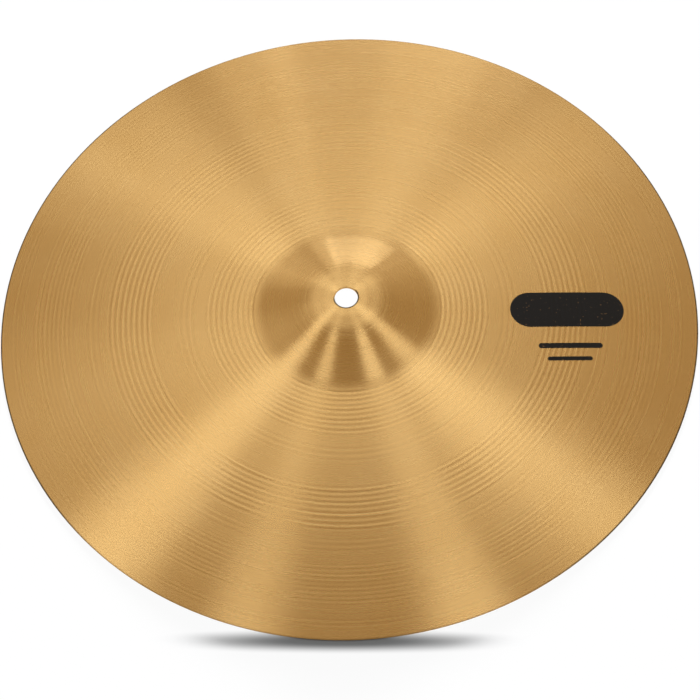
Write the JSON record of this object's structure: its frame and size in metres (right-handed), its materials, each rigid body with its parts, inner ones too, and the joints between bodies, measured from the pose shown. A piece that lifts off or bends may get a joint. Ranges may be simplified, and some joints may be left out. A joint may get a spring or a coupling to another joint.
{
  "type": "suspended cymbal",
  "caption": "Thin turned bronze cymbal with a shallow bow, a low flat-topped bell and a centre hole, lying bell up on its rim.",
  "frame": {"origin": "centre of the rim plane, on the surface that the cymbal lies on", "axes": "+Z along the cymbal's own axis, out through the bell; the printed mark lies towards +X"},
  "size_m": [0.4064, 0.4064, 0.037],
  "materials": {
    "bronze": "cast bell bronze, lathe-turned in fine rings, satin",
    "ink": "thin black screen-printing ink on the bronze"
  },
  "bodies": {
    "root": {"cymbal": "bronze"}
  },
  "joints": []
}
